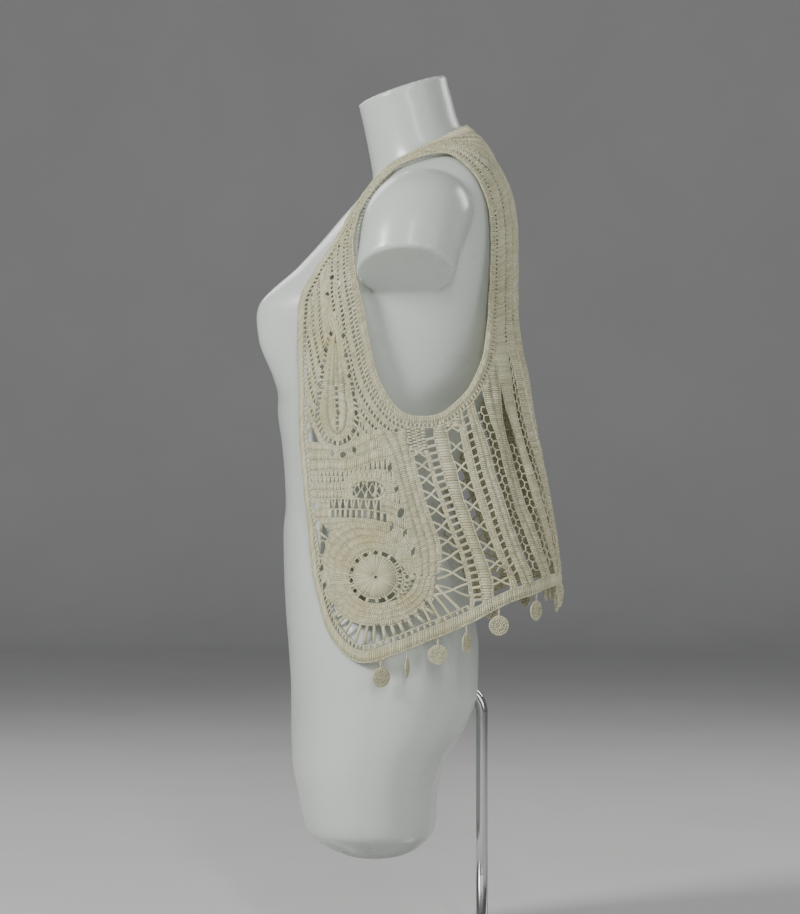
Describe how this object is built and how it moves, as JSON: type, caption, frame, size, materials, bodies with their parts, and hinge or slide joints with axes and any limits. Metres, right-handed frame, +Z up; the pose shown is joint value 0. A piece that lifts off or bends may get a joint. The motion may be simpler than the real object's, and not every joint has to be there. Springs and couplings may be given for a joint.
{
  "type": "sweater vest on a dress form",
  "caption": "Sleeveless open-front crocheted lace sweater vest with small discs hanging from its hem, worn by a glossy limbless dress form on a rod stand with a round base.",
  "frame": {"origin": "centre of the round base's underside", "axes": "+X to the wearer's left, -Y to the front, +Z up"},
  "size_m": [0.4226, 0.38, 0.9611],
  "materials": {
    "yarn": "matt cream cotton crochet",
    "shell": "glossy off-white",
    "chrome": "polished",
    "plate": "brushed"
  },
  "bodies": {
    "root": {"armhole_band_left": "yarn", "armhole_band_right": "yarn", "back_panel_left": "yarn", "back_panel_right": "yarn", "disc_01": "yarn", "disc_02": "yarn", "disc_03": "yarn", "disc_04": "yarn", "disc_05": "yarn", "disc_06": "yarn", "disc_07": "yarn", "disc_08": "yarn", "disc_09": "yarn", "disc_10": "yarn", "disc_11": "yarn", "disc_12": "yarn", "disc_13": "yarn", "disc_14": "yarn", "disc_15": "yarn", "disc_16": "yarn", "disc_17": "yarn", "disc_18": "yarn", "disc_19": "yarn", "disc_20": "yarn", "dress_form": "shell", "edge_band_left": "yarn", "edge_band_right": "yarn", "front_panel_left": "yarn", "front_panel_right": "yarn", "side_panel_left": "yarn", "side_panel_right": "yarn", "stand_base": "plate", "stand_rod": "chrome"}
  },
  "joints": []
}
